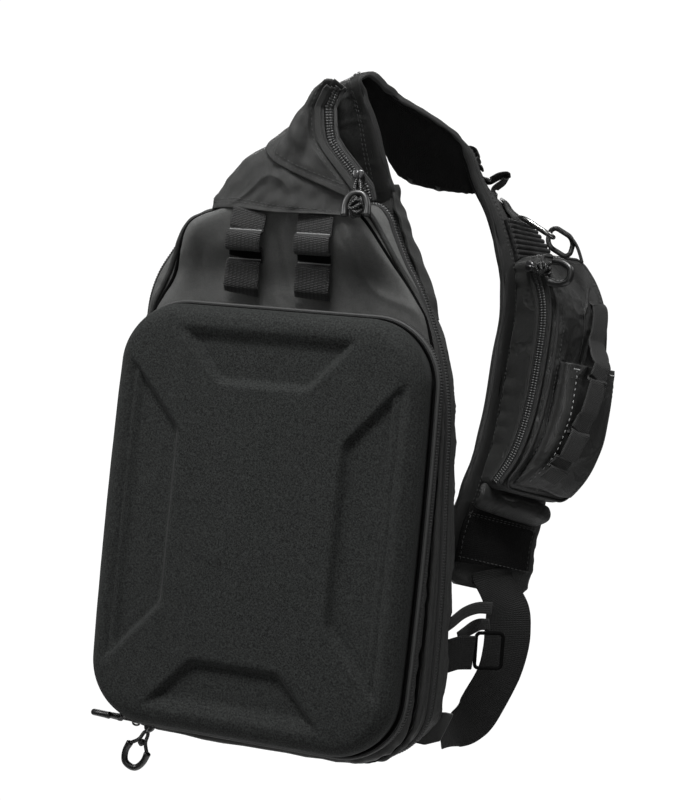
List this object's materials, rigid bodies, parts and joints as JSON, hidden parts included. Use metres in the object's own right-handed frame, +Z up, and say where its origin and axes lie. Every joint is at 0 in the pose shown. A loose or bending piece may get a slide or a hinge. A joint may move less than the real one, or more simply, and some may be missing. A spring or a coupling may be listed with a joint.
{
  "type": "sling bag",
  "caption": "Black fishing tackle sling bag with a moulded front shell, a fabric body that narrows to a peak, and a padded shoulder strap with a zipped pocket.",
  "frame": {"origin": "middle of the shoulder strap's inner face at its crown, where the bag hangs from a shoulder or a peg", "axes": "+X to the right seen from the front, +Y back towards the wearer, +Z up"},
  "size_m": [0.3366, 0.2348, 0.5141],
  "materials": {
    "shell_felt": "fine felt over moulded foam, matt, near black with a cold tint",
    "bag_cloth": "woven nylon, matt black",
    "spacer_mesh": "knitted spacer mesh, matt black",
    "webbing": "ribbed webbing, matt black",
    "zip_tape": "woven tape with a black coil",
    "cord": "braided cord, black",
    "moulded_plastic": "moulded, slightly glossy, black",
    "dark_metal": "black enamel",
    "ring_metal": "satin nickel"
  },
  "bodies": {
    "root": {"front_shell": "shell_felt", "shell_zip_tape": "zip_tape", "body_front": "bag_cloth", "main_zip_tape": "zip_tape", "body_back": "spacer_mesh", "shoulder_strap": "spacer_mesh", "yoke_lower": "bag_cloth", "yoke_upper": "bag_cloth", "peak_zip_tape": "zip_tape", "molle_left": "webbing", "molle_right": "webbing", "ring_tab": "bag_cloth", "strap_elastic": "webbing", "strap_top_loop": "webbing", "strap_hook_loop": "webbing", "strap_pocket": "bag_cloth", "pocket_zip_tape": "zip_tape", "small_pocket": "bag_cloth", "pocket_webbing": "webbing", "d_ring": "ring_metal", "ring_loop": "cord", "strap_end_flap": "bag_cloth", "strap_end_patch": "webbing", "side_webbing": "webbing", "corner_tab": "bag_cloth", "stabiliser_band": "webbing", "stabiliser_buckle": "moulded_plastic", "stabiliser_upper_ribbon": "webbing", "stabiliser_lower_ribbon": "webbing", "shell_pull_left_slider": "dark_metal", "shell_pull_left_cord": "cord", "shell_pull_left_grip": "moulded_plastic", "shell_pull_right_slider": "dark_metal", "shell_pull_right_cord": "cord", "shell_pull_right_grip": "moulded_plastic", "peak_pull_slider": "dark_metal", "peak_pull_cord": "cord", "peak_pull_grip": "moulded_plastic", "pocket_pull_slider": "dark_metal", "pocket_pull_cord": "cord", "pocket_pull_grip": "moulded_plastic"}
  },
  "joints": []
}
